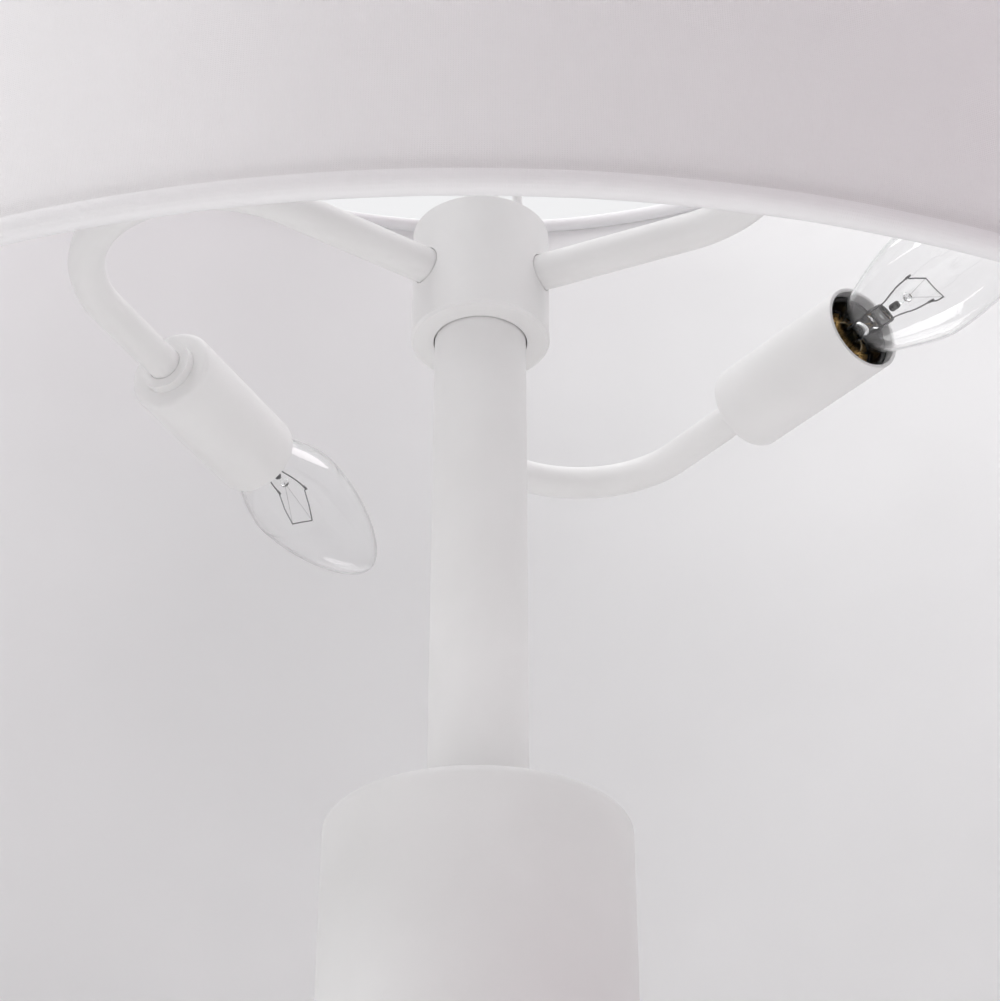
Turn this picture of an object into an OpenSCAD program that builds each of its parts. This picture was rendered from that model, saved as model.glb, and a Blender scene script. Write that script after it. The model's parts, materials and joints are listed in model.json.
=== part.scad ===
// Table lamp with a drum shade over a ring of three bent arms.
// Millimetres, +Z up. The origin is on the lamp's axis, at the underside of the felt.

/* [Foot] */
// Diameter of the round foot plate
foot_d = 220; // [190:5:260]
// Thickness of the foot plate
foot_h = 14; // [12:1:20]
// Radius of the foot plate's rounded top edge
foot_round = 4; // [1:0.5:8]
// Thickness of the felt under the foot
felt_h = 2; // [1:0.5:4]
// How far the felt stays in from the foot's edge
felt_inset = 4; // [2:1:10]
// Diameter of the recess under the foot for the nut
recess_d = 36; // [34:1:50]
// Depth of that recess
recess_h = 8; // [8:0.5:9.5]
// Height of the boss that centres the column
boss_h = 4; // [2:0.5:8]

/* [Column] */
// Diameter of the wide lower column
column_d = 75; // [60:1:95]
// Length of the column, from the foot to its flat top
column_h = 312.5; // [200:0.5:340]
// Wall of the column
column_wall = 2; // [1.5:0.25:4]
// Thickness of the column's closed top
column_lid = 3; // [2:0.5:6]
// Radius of the shoulder round the column's top
column_round = 3.3; // [1:0.1:6]
// Height of the cord entry above the foot plate
cord_z = 22; // [16:1:60]
// Bore of the bushing in the cord entry
cord_bore = 6.5; // [5:0.25:8]
// Wall of the bushing
bushing_wall = 1.6; // [1.2:0.2:2.4]
// Width of the bushing's flange, beyond its tube
bushing_lip = 2.2; // [1.4:0.2:4]
// Thickness of the bushing's flange
bushing_lip_t = 2; // [1:0.25:4]
// How far the bushing reaches inside the column's wall
bushing_tail = 4; // [2:0.5:8]

/* [Stem] */
// Diameter of the slim stem
stem_d = 25; // [22:0.5:34]
// Length of stem that shows between column and hub
stem_show = 142.5; // [90:0.5:200]
// Wall of the stem
stem_wall = 2; // [1:0.25:3]
// Height of the bush that centres the stem on the column
bush_h = 12; // [6:1:30]

/* [Tie rod] */
// Diameter of the hollow rod that clamps foot, column, stem and hub
rod_d = 10; // [8:0.5:12]
// Bore of the rod, for the wires
rod_bore = 7; // [4:0.5:7]
// Width across the flats of the rod's nuts
rod_nut_af = 17; // [16:0.5:19]
// Thickness of the rod's nuts
rod_nut_h = 4.5; // [3:0.5:4.5]
// Diameter of the washer under the foot
washer_d = 30; // [22:1:32]
// Thickness of that washer
washer_h = 2; // [1:0.25:2.5]
// How far the rod stands out of its nuts
rod_end = 0.8; // [0.2:0.2:1]

/* [Hub] */
// Diameter of the hub
hub_d = 38; // [36:0.5:50]
// Height of the hub, with its cover
hub_h = 37; // [35:0.5:50]
// Wall of the hub round its hollow
hub_wall = 4; // [3:0.25:5]
// Depth of the socket that holds the stem's top end
hub_socket = 6; // [3:0.5:8]
// Thickness of the floor that the rod's upper nut bears on
hub_floor = 4; // [3:0.5:5]
// Thickness of the hub's cover
cover_h = 4; // [2.5:0.5:5]
// Depth of the rim that locates the cover in the hub
cover_rim_h = 3; // [1:0.5:3.5]
// Chamfer round the hub's top and bottom edges
hub_chamfer = 0.7; // [0.2:0.1:1.2]

/* [Arms] */
// Diameter of the arm tube
arm_d = 10; // [8:0.5:11]
// Bore of the arm tube, for the wires
arm_bore = 7; // [4:0.5:7]
// Depth of the arms' plane below the hub's top
arm_drop = 18.5; // [16.5:0.5:19]
// Compass angle of the first arm, from +X towards +Y
arm_turn = 95; // [0:5:355]
// Distance from the lamp's axis to the start of an arm's bend
arm_reach = 62; // [40:1:90]
// Radius of the bend, at the tube's middle
arm_bend_r = 36.6; // [26:0.1:48]
// Angle that an arm bends through
arm_bend = 150; // [120:1:160]
// Straight tube between the bend and the cup
arm_tail = 33; // [18:0.1:45]
// How far the arm's inner end stands into the hub's hollow
arm_poke = 1; // [0:0.5:3]
// Diameter of the collar behind each cup
collar_d = 16; // [13:0.5:18]
// Thickness of that collar
collar_h = 3; // [1.5:0.5:6]

/* [Cups] */
// Diameter of a cup
cup_d = 26; // [25:0.5:32]
// Length of a cup
cup_l = 51; // [46:1:66]
// Wall of a cup
cup_wall = 1.2; // [0.8:0.1:1.5]
// Thickness of a cup's back
cup_back = 2; // [1.5:0.25:4]
// Radius of the rounded back edge
cup_round = 1.8; // [0.6:0.2:3]

/* [Lampholders] */
// How far a lampholder's rim lies behind the cup's mouth
holder_in = 2.5; // [1:0.5:4]
// Width of the lampholder's open mouth
holder_mouth = 20.5; // [20:0.5:21.5]
// Depth of that mouth, down to the flange of the screw shell
holder_mouth_h = 5.5; // [4:0.5:7]
// How deep the arm's end stands in the lampholder
holder_grip = 6; // [3:0.5:10]
// Bore of the wireway through the lampholder
wireway_d = 5; // [3:0.5:6]
// Distance from a cup's mouth back to the centre contact's tip
contact_in = 23.7; // [23:0.1:26]
// Height of the centre contact
contact_h = 2.5; // [1.5:0.25:4]
// Diameter of the contact's plate
contact_d = 9; // [7:0.5:10]
// Diameter of the contact's raised tip
contact_tip_d = 4; // [3:0.5:5]
// Wall of the screw shell
shell_t = 0.4; // [0.3:0.1:0.8]
// Diameter of the screw shell's flange
shell_lip_d = 18; // [16:0.5:19.5]
// Space between the contact's tip and the screw shell's lower end
shell_lift = 2; // [1:0.5:5]

/* [Bulbs] */
// Largest diameter of the glass
bulb_d = 31.75; // [30:0.25:35]
// Length of a bulb, from its contact to its tip
bulb_l = 99; // [92:1:106]
// Distance from the contact to the widest place
bulb_belly = 47; // [42:1:54]
// Pull of the glass curve below the belly
belly_low = 17; // [12:1:20]
// Pull of the glass curve above the belly
belly_high = 23; // [16:1:30]
// Share of the belly's radius that the neck's curve leans to
neck_lean = 0.605; // [0.55:0.005:0.75]
// Pull of the neck's curve above the cap
neck_pull = 2.5; // [1:0.5:5]
// Share of the belly's radius that the tip's curve leans to
tip_blunt = 0.4; // [0.3:0.05:0.55]
// Thickness of the glass
glass_t = 0.9; // [0.6:0.1:1.2]
// Diameter of the cap
cap_d = 11.7; // [11.4:0.1:12]
// Height of the cap, with its contact
cap_h = 17; // [16:0.5:17.5]
// Thickness of the cap's sheet
cap_t = 0.35; // [0.25:0.05:0.5]
// Height of the cap's insulator and contact
cap_foot = 3; // [2:0.25:4]
// Diameter of the contact on the cap's end
eye_d = 4.6; // [4:0.2:5.5]
// Length of the glass neck inside the cap
neck_in = 5; // [3:0.5:8]
// Diameter of the glass tube inside the bulb
press_d = 5.2; // [4:0.2:6.4]
// Height of the flat pinch at that tube's top, above the contact
press_top = 33.4; // [28:0.2:38]
// Height of the flat pinch
press_flat = 7; // [4:0.5:10]
// Thickness of the flat pinch
press_flat_t = 2.6; // [1.6:0.2:4]
// Thickness of the lead wires
lead_d = 0.6; // [0.4:0.1:1]
// Thickness of the filament
filament_d = 0.5; // [0.3:0.1:0.8]
// Half the distance between the lead wires' outer ends
lead_spread = 5.7; // [4:0.1:8]
// Height of the lead wires' outer ends above the press
lead_rise = 16; // [10:0.2:20]
// Height of the glass bead above the press
bead_rise = 5.8; // [3:0.2:8]
// Diameter of the glass bead
bead_d = 3.2; // [2:0.2:4]
// How far the filament's middle stands out beyond its ends
filament_out = 3.2; // [1:0.2:6]
// How far in from the lead wires the filament's corners lie
filament_in = 1.2; // [0.4:0.1:3]
// Turn of the first bulb's filament about its own axis
filament_turn = 65; // [0:5:355]
// Further turn of the filament from one bulb to the next
filament_step = 120; // [0:5:180]

/* [Shade] */
// Outside diameter of the drum
shade_d = 465; // [400:5:500]
// Height of the drum
shade_h = 360; // [250:5:400]
// Depth of the drum's lower rim below the hub's top
shade_drop = 172; // [140:1:180]
// Thickness of the drum's wall
skin_t = 1; // [0.6:0.1:2]
// Thickness of the rim wires
wire_d = 3.5; // [3:0.25:5]
// Thickness of the cloth rolled round a rim wire
roll_t = 0.85; // [0.5:0.05:1.5]
// Width of the lapped seam up the back of the drum
seam_w = 12; // [6:1:24]
// How far the lapped seam stands out
seam_t = 0.4; // [0.2:0.1:0.8]
// Depth of the centre ring below the drum's top
ring_drop = 12; // [9:1:30]
// Diameter of the centre ring
ring_d = 28; // [26:1:34]
// Thickness of the centre ring
ring_h = 2.5; // [2:0.25:4]
// Thickness of the spokes
spoke_d = 4; // [3:0.25:5]
// Compass angle of the first spoke
spoke_turn = 86; // [0:1:359]

/* [Riser and finial] */
// Diameter of the riser between hub and shade
riser_d = 10; // [8:0.5:12]
// Diameter of the riser's threaded ends
stud_d = 8; // [5:0.5:8]
// Diameter of the flange that stands on the hub's cover
riser_foot_d = 16; // [14:0.5:24]
// Thickness of that flange
riser_foot_h = 4; // [2:0.5:8]
// Diameter of the seat that carries the shade's centre ring
seat_d = 21; // [16:0.5:21.5]
// Thickness of that seat
seat_h = 3; // [2:0.5:5]
// Length of the stud above the centre ring
stud_top = 8; // [5:0.5:9]
// Width across the flats of the nut under the hub's cover
stud_nut_af = 13; // [12:0.5:14]
// Thickness of that nut
stud_nut_h = 4; // [2.5:0.5:4]
// Diameter of the finial
finial_d = 16; // [13:0.5:20]
// Height of the finial
finial_h = 18; // [16:0.5:26]
// Height of the finial's flat foot
finial_foot = 2.5; // [1.5:0.25:4]
// Diameter of the finial's waist
finial_waist = 11; // [10.5:0.25:12]

/* [Clearances] */
// Gap round a rod in its hole
hole_gap = 0.2; // [0.1:0.05:0.4]
// Gap round a piece that nests in another
nest_gap = 0.2; // [0.1:0.05:0.3]
// Width of the dark seam where the stem enters the hub
seam_gap = 0.35; // [0.2:0.05:0.5]
// Gap round a bulb's cap in the screw shell
cap_gap = 0.3; // [0.25:0.05:0.4]
// Gap between a bulb's contact and the centre contact
touch_gap = 0.3; // [0.2:0.1:0.6]
// Gap round the stud in the shade's centre ring
turn_gap = 0.06; // [0.03:0.01:0.1]
// Gap under a piece that turns
rest_gap = 0.2; // [0.1:0.05:0.4]
// Gap round a rim wire in its rolled cloth
wire_gap = 0.05; // [0.03:0.01:0.1]

/* [Hidden] */
// Arms, cups and bulbs round the hub, and spokes in the shade
places = [1, 2, 3];
thirds = 360 / len(places);

// Heights, from the table up
foot_z = felt_h;
recess_z = foot_z + recess_h;
column_z = foot_z + foot_h;
stem_z = column_z + column_h;
hub_z = stem_z + stem_show;
floor_z = hub_z + hub_socket;
hollow_z = floor_z + hub_floor;
hub_top = hub_z + hub_h;
cover_z = hub_top - cover_h;
arm_z = hub_top - arm_drop;
rim_z = hub_top - shade_drop;
shade_top = rim_z + shade_h;
ring_z = shade_top - ring_drop - ring_h;
seat_z = ring_z - rest_gap;
finial_z = ring_z + ring_h + rest_gap;

// Rod
rod_low = recess_z - washer_h - rod_nut_h - rod_end;
rod_high = hollow_z + rod_nut_h + rod_end;
rod_hole = rod_d + 2 * hole_gap;

// Arm, in its own frame: it leaves the lamp's axis along +X and bends clockwise
hollow_r = hub_d / 2 - hub_wall;
arm_start = hollow_r - arm_poke;
bend_end = [arm_reach + arm_bend_r * sin(arm_bend), -arm_bend_r * (1 - cos(arm_bend))];
cup_at = bend_end + arm_tail * [cos(arm_bend), -sin(arm_bend)];

// Lampholder, measured from the outside of the cup's back
cup_in_r = cup_d / 2 - cup_wall;
holder_r = cup_in_r - nest_gap;
holder_top = cup_l - holder_in;
ledge_z = holder_top - holder_mouth_h;
contact_tip = cup_l - contact_in;
contact_z = contact_tip - contact_h;
shell_in_r = cap_d / 2 + cap_gap;
shell_out_r = shell_in_r + shell_t;
shell_z = contact_tip + shell_lift;
arm_hole = arm_d + 2 * hole_gap;

// Bulb, measured from its own contact
bulb_z = contact_tip + touch_gap;
neck_r = cap_d / 2 - cap_t - nest_gap;
flare_r = neck_r - glass_t - wire_gap;
belly_r = bulb_d / 2;
glass_steps = 14;
lead_root = lead_spread * 0.38;
lead_knee = [lead_spread * 0.9, lead_rise * 0.5];
filament_corner = [lead_spread - filament_in, 0, lead_rise + filament_out];

// Shade
shade_r = shade_d / 2;
roll_r = wire_d / 2 + wire_gap + roll_t;
wire_r = shade_r - roll_r;
wire_low = rim_z + roll_r;
wire_high = shade_top - roll_r;
spoke_mid_z = ring_z + ring_h / 2;
spoke_slope = (wire_high - spoke_mid_z) / (wire_r - ring_d / 2);
spoke_root_r = ring_d / 2 + wire_gap + spoke_slope * ring_h / 2;
spoke_tip_r = wire_r - wire_d / 2 - wire_gap;
stud_hole = stud_d + 2 * turn_gap;

$fn = 96;

// Points along an arc, for the rounded corners of turned outlines
function arc(centre, r, from, to, steps = 8) =
    [for (k = [0:steps])
        let (a = from + (to - from) * k / steps)
        centre + r * [cos(a), sin(a)]];

// A point on a cubic curve, and the curve's direction there
function cubic(p, t) =
    pow(1 - t, 3) * p[0] + 3 * pow(1 - t, 2) * t * p[1]
    + 3 * (1 - t) * t * t * p[2] + pow(t, 3) * p[3];
function slope(p, t) =
    3 * pow(1 - t, 2) * (p[1] - p[0]) + 6 * (1 - t) * t * (p[2] - p[1])
    + 3 * t * t * (p[3] - p[2]);
function inward(v) = [-v[1], v[0]] / norm(v);

// A round bar between two points
module bar(from, to, d) {
    v = to - from;
    translate(from)
        rotate([0, acos(v[2] / norm(v)), atan2(v[1], v[0])])
            cylinder(d = d, h = norm(v), $fn = 24);
}

// A thin wire through points in the XZ plane, mitred at its corners
module wire(points, d, sides = 8) {
    last = len(points) - 1;
    rings = [for (k = [0:last])
        let (before = points[k] - points[max(k - 1, 0)],
             after = points[min(k + 1, last)] - points[k],
             before_u = before / max(norm(before), 0.001),
             after_u = after / max(norm(after), 0.001),
             along = (before_u + after_u) / norm(before_u + after_u),
             across = [along[2], 0, -along[0]],
             mitre = k == 0 || k == last ? 1 : 2 / norm(before_u + after_u))
        for (a = [0:sides - 1])
            points[k] + d / 2 * (mitre * cos(a * 360 / sides) * across + sin(a * 360 / sides) * [0, 1, 0])];
    polyhedron(rings, concat(
        [[for (a = [0:sides - 1]) a]],
        [for (k = [0:last - 1]) for (a = [0:sides - 1])
            let (b = (a + 1) % sides)
            [k * sides + a, (k + 1) * sides + a, (k + 1) * sides + b, k * sides + b]],
        [[for (a = [sides - 1:-1:0]) last * sides + a]]));
}

// A hexagon nut with chamfered corners
module hex_nut(af, h, bore) {
    corner_r = af / sqrt(3);
    difference() {
        intersection() {
            cylinder(r = corner_r, h = h, $fn = 6);
            rotate_extrude()
                polygon([[0, 0], [af / 2, 0], [corner_r, corner_r - af / 2],
                         [corner_r, h - corner_r + af / 2], [af / 2, h], [0, h]]);
        }
        translate([0, 0, -1]) cylinder(d = bore, h = h + 2);
    }
}

// Place of an arm, with +X away from the lamp's axis
module at_arm(i) {
    rotate([0, 0, arm_turn + thirds * (i - 1)]) translate([0, 0, arm_z]) children();
}

// Place of a cup, with +Z from its back to its mouth
module at_cup(i) {
    at_arm(i) translate([cup_at[0], cup_at[1], 0])
        rotate([0, 0, -arm_bend]) rotate([0, 90, 0]) children();
}

// Place of a bulb, with +Z from its contact to its tip
module at_bulb(i) {
    at_cup(i) translate([0, 0, bulb_z])
        rotate([0, 0, filament_turn + filament_step * (i - 1)]) children();
}

// Felt under the foot
module foot_felt() color([0.16, 0.16, 0.17]) {
    cylinder(d = foot_d - 2 * felt_inset, h = felt_h);
}

// Heavy round foot with a rounded edge, a recess below and a boss on top
module foot_plate() color([0.93, 0.93, 0.92]) {
    edge = foot_d / 2 - foot_round;
    difference() {
        union() {
            rotate_extrude()
                polygon(concat([[0, foot_z], [foot_d / 2 - 1, foot_z], [foot_d / 2, foot_z + 1]],
                               arc([edge, column_z - foot_round], foot_round, 0, 90),
                               [[0, column_z]]));
            translate([0, 0, column_z - 1])
                cylinder(r = column_d / 2 - column_wall - nest_gap, h = boss_h + 1);
        }
        translate([0, 0, foot_z - 1]) cylinder(d = recess_d, h = recess_h + 1);
        translate([0, 0, foot_z]) cylinder(d = rod_hole, h = foot_h + boss_h + 1);
    }
}

// Washer between the foot and its nut
module foot_washer() color([0.75, 0.75, 0.76]) {
    translate([0, 0, recess_z - washer_h]) difference() {
        cylinder(d = washer_d, h = washer_h);
        translate([0, 0, -1]) cylinder(d = rod_hole, h = washer_h + 2);
    }
}

// Nut on the rod's lower end
module foot_nut() color([0.75, 0.75, 0.76]) {
    translate([0, 0, recess_z - washer_h - rod_nut_h])
        hex_nut(rod_nut_af, rod_nut_h, rod_d + hole_gap);
}

// Hollow threaded rod that clamps the lamp together
module tie_rod() color([0.72, 0.72, 0.70]) {
    translate([0, 0, rod_low]) difference() {
        cylinder(d = rod_d, h = rod_high - rod_low);
        translate([0, 0, -1]) cylinder(d = rod_bore, h = rod_high - rod_low + 2);
    }
}

// Wide lower column, closed at its rounded top
module column() color([0.93, 0.93, 0.92]) {
    difference() {
        rotate_extrude()
            polygon(concat([[0, column_z], [column_d / 2, column_z]],
                           arc([column_d / 2 - column_round, stem_z - column_round],
                               column_round, 0, 90),
                           [[0, stem_z]]));
        translate([0, 0, column_z - 1])
            cylinder(r = column_d / 2 - column_wall, h = column_h - column_lid + 1);
        translate([0, 0, column_z]) cylinder(d = rod_hole, h = column_h + 1);
        translate([0, 0, column_z + cord_z]) rotate([-90, 0, 0])
            cylinder(d = cord_bore + 2 * bushing_wall + 2 * hole_gap, h = column_d);
    }
}

// Flanged bushing that lines the cord entry at the back
module cord_bushing() color([0.90, 0.90, 0.89]) {
    tube_d = cord_bore + 2 * bushing_wall;
    inner_y = column_d / 2 - column_wall - bushing_tail;
    outer_y = column_d / 2 + bushing_lip_t;
    translate([0, 0, column_z + cord_z]) difference() {
        union() {
            translate([0, inner_y, 0]) rotate([-90, 0, 0])
                cylinder(d = tube_d, h = outer_y - inner_y);
            difference() {
                rotate([-90, 0, 0]) cylinder(d = tube_d + 2 * bushing_lip, h = outer_y);
                translate([0, 0, -column_d]) cylinder(r = column_d / 2 + wire_gap, h = 2 * column_d);
            }
        }
        rotate([-90, 0, 0]) cylinder(d = cord_bore, h = column_d);
    }
}

// Bush on the column's top that centres the stem round the rod
module stem_bush() color([0.75, 0.75, 0.76]) {
    translate([0, 0, stem_z]) difference() {
        cylinder(r = stem_d / 2 - stem_wall - nest_gap, h = bush_h);
        translate([0, 0, -1]) cylinder(d = rod_hole, h = bush_h + 2);
    }
}

// Slim stem from the column into the hub's socket
module stem() color([0.94, 0.94, 0.93]) {
    stem_h = floor_z - stem_z;
    translate([0, 0, stem_z]) difference() {
        cylinder(d = stem_d, h = stem_h);
        translate([0, 0, -1]) cylinder(r = stem_d / 2 - stem_wall, h = stem_h + 2);
    }
}

// Hub: socket for the stem below, hollow for the wires above, a hole for each arm
module hub_body() color([0.93, 0.93, 0.92]) {
    difference() {
        rotate_extrude()
            polygon([[0, hub_z], [hub_d / 2 - hub_chamfer, hub_z],
                     [hub_d / 2, hub_z + hub_chamfer], [hub_d / 2, cover_z], [0, cover_z]]);
        translate([0, 0, hub_z - 1]) cylinder(r = stem_d / 2 + seam_gap, h = hub_socket + 1);
        translate([0, 0, hub_z]) cylinder(d = rod_hole, h = hub_h);
        translate([0, 0, hollow_z]) cylinder(r = hollow_r, h = hub_h);
        for (i = places) at_arm(i) rotate([0, 90, 0]) cylinder(d = arm_hole, h = hub_d);
    }
}

// Nut in the hub's hollow, on the rod's upper end
module hub_nut() color([0.75, 0.75, 0.76]) {
    translate([0, 0, hollow_z]) hex_nut(rod_nut_af, rod_nut_h, rod_d + hole_gap);
}

// Cover on the hub, with a rim that fits the hollow
module hub_cover() color([0.93, 0.93, 0.92]) {
    difference() {
        rotate_extrude()
            polygon([[0, cover_z - cover_rim_h], [hollow_r - nest_gap, cover_z - cover_rim_h],
                     [hollow_r - nest_gap, cover_z], [hub_d / 2, cover_z],
                     [hub_d / 2, hub_top - hub_chamfer], [hub_d / 2 - hub_chamfer, hub_top],
                     [0, hub_top]]);
        translate([0, 0, hub_z]) cylinder(d = stud_d + 2 * hole_gap, h = hub_h + 1);
    }
}

// Turned riser: threaded end, foot flange, shaft, shade seat and stud
module riser() color([0.93, 0.93, 0.92]) {
    stud_low = cover_z - cover_rim_h - stud_nut_h - rod_end;
    stud_high = ring_z + ring_h + stud_top;
    union() {
        translate([0, 0, stud_low]) cylinder(d = stud_d, h = stud_high - stud_low);
        translate([0, 0, hub_top]) cylinder(d = riser_foot_d, h = riser_foot_h);
        translate([0, 0, hub_top]) cylinder(d = riser_d, h = seat_z - hub_top);
        translate([0, 0, seat_z - seat_h]) cylinder(d = seat_d, h = seat_h);
    }
}

// Nut under the hub's cover that holds the riser
module riser_nut() color([0.75, 0.75, 0.76]) {
    translate([0, 0, cover_z - cover_rim_h - stud_nut_h])
        hex_nut(stud_nut_af, stud_nut_h, stud_d + hole_gap);
}

// Cut end of the arm tube
module arm_section() {
    difference() {
        circle(d = arm_d);
        circle(d = arm_bore);
    }
}

// Hollow arm: straight out of the hub, round its bend and back into the cup
module arm(i) color([0.94, 0.94, 0.93]) {
    at_arm(i) {
        translate([arm_start, 0, 0]) rotate([0, 90, 0])
            linear_extrude(arm_reach - arm_start) arm_section();
        translate([arm_reach, -arm_bend_r, 0]) rotate([0, 0, 90 - arm_bend]) {
            rotate_extrude(angle = arm_bend) translate([arm_bend_r, 0]) arm_section();
            translate([arm_bend_r, 0, 0]) rotate([90, 0, 0])
                linear_extrude(arm_tail + cup_back + holder_grip) arm_section();
        }
    }
}

// Collar round the arm, behind the cup
module collar(i) color([0.94, 0.94, 0.93]) {
    at_cup(i) translate([0, 0, -collar_h]) difference() {
        cylinder(d = collar_d, h = collar_h);
        translate([0, 0, -1]) cylinder(d = arm_d + hole_gap, h = collar_h + 2);
    }
}

// Thin cup with a rounded back edge and an open mouth
module cup(i) color([0.94, 0.94, 0.93]) {
    at_cup(i) difference() {
        rotate_extrude()
            polygon(concat([[0, 0]],
                           arc([cup_d / 2 - cup_round, cup_round], cup_round, -90, 0),
                           [[cup_d / 2, cup_l], [0, cup_l]]));
        translate([0, 0, cup_back]) cylinder(r = cup_in_r, h = cup_l);
        translate([0, 0, -1]) cylinder(d = arm_hole, h = cup_back + 2);
    }
}

// Black insulating body of a lampholder, stepped inside
module lampholder(i) color([0.06, 0.06, 0.06]) {
    at_cup(i) difference() {
        translate([0, 0, cup_back]) cylinder(r = holder_r, h = holder_top - cup_back);
        translate([0, 0, cup_back - 1]) cylinder(d = arm_hole, h = holder_grip + 2);
        translate([0, 0, cup_back]) cylinder(d = wireway_d, h = cup_l);
        translate([0, 0, contact_z]) cylinder(r = shell_out_r + wire_gap, h = cup_l);
        translate([0, 0, ledge_z]) cylinder(d = holder_mouth, h = cup_l);
    }
}

// Brass screw shell with a flange on the lampholder's ledge
module screw_shell(i) color([0.78, 0.62, 0.30]) {
    at_cup(i) difference() {
        union() {
            translate([0, 0, shell_z]) cylinder(r = shell_out_r, h = ledge_z + shell_t - shell_z);
            translate([0, 0, ledge_z]) cylinder(d = shell_lip_d, h = shell_t);
        }
        translate([0, 0, shell_z - 1]) cylinder(r = shell_in_r, h = cup_l);
    }
}

// Centre contact on the floor of the lampholder
module contact(i) color([0.78, 0.62, 0.30]) {
    at_cup(i) translate([0, 0, contact_z]) union() {
        cylinder(d = contact_d, h = contact_h * 0.3);
        cylinder(d = contact_tip_d, h = contact_h);
    }
}

// Outline of the glass: from the neck out to the belly, then in to the tip
neck_curve = [[neck_r, cap_h], [belly_r * neck_lean, cap_h + neck_pull],
              [belly_r, bulb_belly - belly_low], [belly_r, bulb_belly]];
tip_curve = [[belly_r, bulb_belly], [belly_r, bulb_belly + belly_high],
             [belly_r * tip_blunt, bulb_l], [0, bulb_l]];

// Points of one of those curves, moved in by a thickness
function wall(curve, in, first, last) =
    [for (k = [first:last])
        let (t = k / glass_steps)
        cubic(curve, t) + in * inward(slope(curve, t))];

module bulb_glass(i) color([0.85, 0.88, 0.90, 0.35]) {
    outside = concat([[neck_r, cap_h - neck_in]],
                     wall(neck_curve, 0, 0, glass_steps),
                     wall(tip_curve, 0, 1, glass_steps));
    inside = concat([[neck_r - glass_t, cap_h - neck_in]],
                    wall(neck_curve, glass_t, 1, glass_steps),
                    wall(tip_curve, glass_t, 1, glass_steps - 1),
                    [[0, bulb_l - glass_t]]);
    at_bulb(i) rotate_extrude()
        polygon(concat(outside, [for (k = [len(inside) - 1:-1:0]) inside[k]]));
}

// Cap: sheet cup, insulator cone and centre contact
module bulb_cap(i) color([0.80, 0.70, 0.45]) {
    at_bulb(i) difference() {
        rotate_extrude()
            polygon([[0, 0], [eye_d / 2, 0], [eye_d / 2, cap_foot * 0.25],
                     [cap_d / 2 - 1.4, cap_foot * 0.45], [cap_d / 2, cap_foot],
                     [cap_d / 2, cap_h], [0, cap_h]]);
        translate([0, 0, cap_foot]) cylinder(r = cap_d / 2 - cap_t, h = cap_h);
    }
}

// Glass tube inside the bulb: flared foot, tube and flat pinch
module bulb_stem(i) color([0.80, 0.84, 0.86, 0.5]) {
    foot_z = cap_h - neck_in;
    flat_z = press_top - press_flat;
    at_bulb(i) union() {
        rotate_extrude()
            polygon([[0, foot_z + 1.2], [flare_r - 0.8, foot_z], [flare_r, foot_z],
                     [flare_r, foot_z + 0.8], [press_d / 2, foot_z + 5],
                     [press_d / 2, flat_z + 1.5], [0, flat_z + 3]]);
        translate([-lead_root - 1.2, -press_flat_t / 2, flat_z])
            cube([2 * lead_root + 2.4, press_flat_t, press_flat]);
    }
}

// Lead wires out of the pinch, and the bead with its two support wires
module bulb_leads(i) color([0.45, 0.45, 0.46]) {
    corner_in = filament_corner[0] - filament_in;
    corner_low = filament_corner[2] - (filament_d + lead_d) / 2;
    at_bulb(i) translate([0, 0, press_top]) {
        for (side = [-1, 1])
            wire([[side * lead_root, 0, 0], [side * lead_knee[0], 0, lead_knee[1]],
                  [side * lead_spread, 0, lead_rise]], lead_d);
        union() {
            translate([0, 0, bead_rise]) sphere(d = bead_d, $fn = 32);
            cylinder(d = lead_d, h = bead_rise, $fn = 24);
            wire([[-corner_in, 0, corner_low], [0, 0, bead_rise], [corner_in, 0, corner_low]], lead_d);
        }
    }
}

// Filament: out from one lead wire, across, and back to the other
module filament(i) color([0.30, 0.30, 0.31]) {
    end = [lead_spread, 0, lead_rise + lead_d / 2 + filament_d / 2];
    at_bulb(i) translate([0, 0, press_top])
        wire([[-end[0], 0, end[2]], [-filament_corner[0], 0, filament_corner[2]],
              filament_corner, end], filament_d);
}

// Centre ring of the spider
module spider() color([0.93, 0.93, 0.92]) {
    translate([0, 0, ring_z]) difference() {
        cylinder(d = ring_d, h = ring_h);
        translate([0, 0, -1]) cylinder(d = stud_hole, h = ring_h + 2);
    }
}

// Spoke butted on the centre ring, up to the top wire
module spoke(i) color([0.93, 0.93, 0.92]) spoke_bar(i, spoke_d, spoke_root_r, spoke_tip_r);

// Bar along one spoke's line, between two radii
module spoke_bar(i, d, from_r, to_r) {
    rotate([0, 0, spoke_turn + thirds * (i - 1)])
        bar([from_r, 0, spoke_mid_z + spoke_slope * (from_r - ring_d / 2)],
            [to_r, 0, spoke_mid_z + spoke_slope * (to_r - ring_d / 2)], d);
}

// Wire hoop inside a rolled rim
module hoop(z) {
    translate([0, 0, z]) rotate_extrude() translate([wire_r, 0]) circle(d = wire_d, $fn = 32);
}

module top_ring() color([0.93, 0.93, 0.92]) hoop(wire_high);

module bottom_ring() color([0.93, 0.93, 0.92]) hoop(wire_low);

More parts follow.
